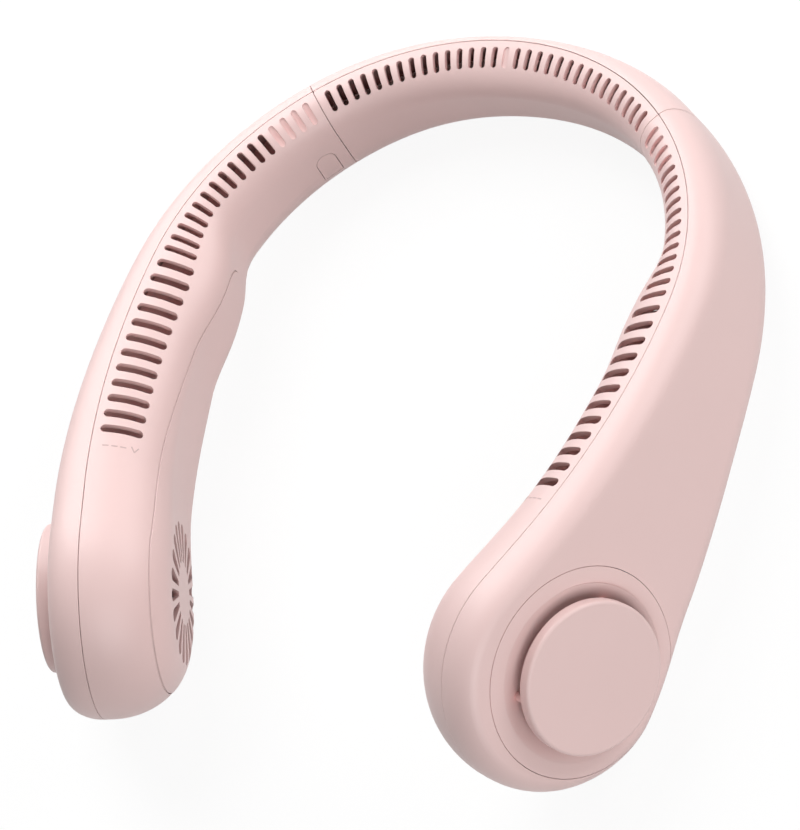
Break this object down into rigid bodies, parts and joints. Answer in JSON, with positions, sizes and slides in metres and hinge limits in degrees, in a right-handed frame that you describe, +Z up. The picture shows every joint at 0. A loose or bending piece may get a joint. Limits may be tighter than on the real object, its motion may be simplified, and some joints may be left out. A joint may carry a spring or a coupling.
{
  "type": "electric neck fan",
  "caption": "Bladeless neck fan: slotted hollow hoop worn round the neck, with a blower in each thick end, disc-covered inlets, grilles, a cell in each arm and a push button.",
  "frame": {"origin": "middle of the footprint, on the table that the fan lies on", "axes": "+X to the wearer's left arm, +Y to the back of the neck, +Z up from the table"},
  "size_m": [0.19, 0.2108, 0.0648],
  "materials": {
    "shell_inner": "fine satin, pale pink",
    "shell_outer": "fine satin, pale pink",
    "cover": "fine satin, pale pink",
    "ring": "fine satin, pale pink",
    "disc": "fine satin, pale pink",
    "button": "fine satin, pale pink",
    "wheel": "moulded, dusky rose",
    "inner_plastic": "moulded, dusky rose",
    "motor_base": "moulded black",
    "steel": "plated",
    "lamination": "stacked sheet",
    "magnet": "dull black",
    "bronze": "oiled sintered bronze",
    "copper": "enamelled wire",
    "screw": "zinc plated",
    "cell": "blue shrink wrap",
    "ribbon": "flat cable",
    "board": "solder mask",
    "switch": "black",
    "plunger": "off-white",
    "lamp": "clear over die",
    "light_pipe": "clear",
    "port": "drawn steel"
  },
  "bodies": {
    "housing": {"board_screws": "screw", "case_screws": "screw", "charging_port": "port", "control_board": "board", "left_arm_inner_shell": "shell_inner", "left_arm_outer_shell": "shell_outer", "left_cell": "cell", "left_duct_floor": "inner_plastic", "left_inlet_disc": "disc", "left_inlet_ring": "ring", "left_inner_cover": "cover", "left_motor_base": "motor_base", "left_motor_bearings": "bronze", "left_motor_screws": "screw", "left_screw_plug": "cover", "left_seam_sleeve": "inner_plastic", "left_stator_coils": "copper", "left_stator_core": "lamination", "light_pipes": "light_pipe", "neck_inner_shell": "shell_inner", "neck_outer_shell": "shell_outer", "right_arm_inner_shell": "shell_inner", "right_arm_outer_shell": "shell_outer", "right_cell": "cell", "right_duct_floor": "inner_plastic", "right_inlet_disc": "disc", "right_inlet_ring": "ring", "right_inner_cover": "cover", "right_motor_base": "motor_base", "right_motor_bearings": "bronze", "right_motor_screws": "screw", "right_screw_plug": "cover", "right_seam_sleeve": "inner_plastic", "right_stator_coils": "copper", "right_stator_core": "lamination", "status_lamps": "lamp", "tact_switch": "switch", "wiring_ribbon": "ribbon"},
    "left_wheel": {"left_blower_wheel": "wheel", "left_motor_shaft": "steel", "left_rotor_cup": "steel", "left_rotor_magnet": "magnet"},
    "right_wheel": {"right_blower_wheel": "wheel", "right_motor_shaft": "steel", "right_rotor_cup": "steel", "right_rotor_magnet": "magnet"},
    "button": {"power_button": "button", "switch_plunger": "plunger"}
  },
  "joints": [
    {"name": "left_wheel_spin", "type": "hinge", "parent": "housing", "child": "left_wheel", "pos_m": [0.07193, -0.07209, 0.03033], "axis": [0.8956, -0.2824, 0.3438], "continuous": true},
    {"name": "right_wheel_spin", "type": "hinge", "parent": "housing", "child": "right_wheel", "pos_m": [-0.07193, -0.07209, 0.03033], "axis": [-0.8956, -0.2824, 0.3438], "continuous": true},
    {"name": "button_press", "type": "slide", "parent": "housing", "child": "button", "axis": [0.9252, -0.3626, -0.1119], "range_m": [0, 0.0005], "stiffness_N_per_m": 2000}
  ]
}
